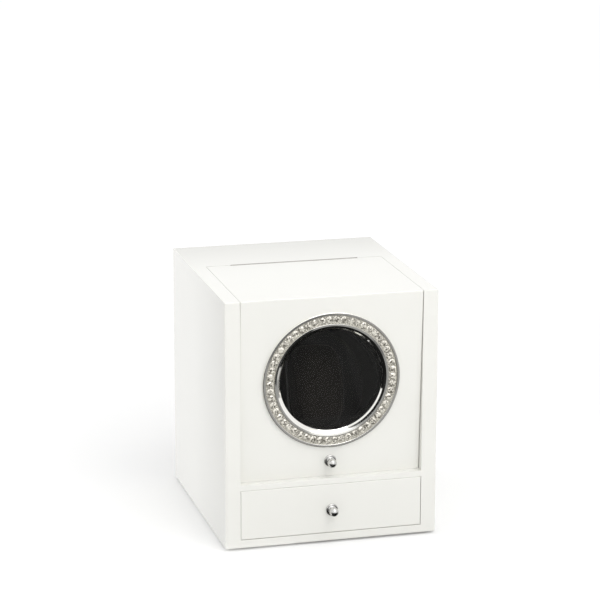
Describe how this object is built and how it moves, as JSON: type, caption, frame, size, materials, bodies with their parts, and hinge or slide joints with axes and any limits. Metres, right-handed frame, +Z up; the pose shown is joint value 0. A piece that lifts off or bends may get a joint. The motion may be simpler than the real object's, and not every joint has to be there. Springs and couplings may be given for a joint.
{
  "type": "watch winder box",
  "caption": "Lacquered watch winder box: an L-shaped lid with a round stone-set window swings up over a motor-driven drum and cushion, above a flush drawer.",
  "frame": {"origin": "on the table, under the middle of the whole object's box", "axes": "+Z up, the front with the window and the drawer faces -Y, +X to the right seen from the front"},
  "size_m": [0.185, 0.2248, 0.2175],
  "materials": {
    "white_lacquer": "warm white piano lacquer on fibreboard, polished",
    "black_board": "black stained thin board, satin",
    "black_velvet": "short black velvet",
    "felt": "pale felt pads",
    "chrome": "polished chrome plate",
    "crystal": "clear cut stones",
    "clear_glass": "clear polished pane",
    "rubber": "matt black",
    "steel": "plated steel",
    "aluminium": "plain milled",
    "bronze": "sintered bronze",
    "black_plastic": "fine-grained black moulding",
    "green_board": "green solder mask"
  },
  "bodies": {
    "cabinet": {"left_side_panel": "white_lacquer", "right_side_panel": "white_lacquer", "base_panel": "white_lacquer", "middle_shelf": "white_lacquer", "lid_strike": "steel", "top_rear_panel": "white_lacquer", "feet": "felt", "back_panel": "white_lacquer", "control_plate_screws": "steel", "cabinet_hinge_leaf": "steel", "cabinet_hinge_screws": "steel", "hinge_pin": "steel", "fascia_panel": "black_velvet", "deck_panel": "black_velvet", "lining_cleats": "black_board", "drive_belt": "rubber", "mechanism_plate": "aluminium", "plate_standoffs": "aluminium", "bearing_housing": "aluminium", "rotor_bushes": "bronze", "motor_gearbox": "aluminium", "motor_can": "steel", "motor_screws": "steel", "control_board": "green_board", "board_spacers": "black_plastic", "motor_lead": "rubber", "control_plate": "black_plastic", "rocker_housing": "black_plastic", "selector_switch": "black_plastic", "dc_jack": "black_plastic"},
    "lid": {"lid_hinge_leaf": "steel", "lid_hinge_screws": "steel", "lid_front_panel": "white_lacquer", "lid_magnet": "steel", "lid_top_panel": "white_lacquer", "window_bezel": "chrome", "bezel_crystals": "crystal", "window_glass": "clear_glass", "window_gasket": "rubber", "bezel_nut": "steel", "lid_knob": "chrome", "lid_knob_screw": "steel"},
    "drawer": {"drawer_knob": "chrome", "drawer_knob_screw": "steel", "drawer_front": "white_lacquer", "drawer_left_side": "black_board", "drawer_right_side": "black_board", "drawer_back": "black_board", "drawer_bottom": "black_board", "drawer_lining": "black_velvet"},
    "rotor": {"drum_cup": "black_plastic", "cushion_cradle": "black_plastic", "watch_cushion": "black_velvet", "rotor_shaft": "steel", "rotor_pulley": "black_plastic", "shaft_collar": "steel"},
    "motor_output": {"motor_pulley": "black_plastic", "motor_shaft": "steel"},
    "selector": {"selector_knob": "black_plastic"},
    "rocker": {"power_rocker": "black_plastic"}
  },
  "joints": [
    {"name": "lid_hinge", "type": "hinge", "parent": "cabinet", "child": "lid", "pos_m": [0, 0.0245, 0.2164], "axis": [-1, 0, 0], "range_deg": [0, 95]},
    {"name": "drawer_slide", "type": "slide", "parent": "cabinet", "child": "drawer", "axis": [0, -1, 0], "range_m": [0, 0.13]},
    {"name": "rotor_spin", "type": "hinge", "parent": "cabinet", "child": "rotor", "pos_m": [0, -0.06, 0.127], "axis": [0, -0.9659, 0.2588], "continuous": true},
    {"name": "motor_spin", "type": "hinge", "parent": "cabinet", "child": "motor_output", "pos_m": [0.05, -0.06, 0.127], "axis": [0, -0.9659, 0.2588], "continuous": true},
    {"name": "selector_turn", "type": "hinge", "parent": "cabinet", "child": "selector", "pos_m": [0.002, 0.1015, 0.087], "axis": [0, 1, 0], "range_deg": [-60, 60]},
    {"name": "rocker_tilt", "type": "hinge", "parent": "cabinet", "child": "rocker", "pos_m": [-0.017, 0.1015, 0.087], "axis": [-1, 0, 0], "range_deg": [0, 16]}
  ],
  "couplings": [
    {"joint": "motor_spin", "follows": "rotor_spin", "ratio": 5}
  ]
}
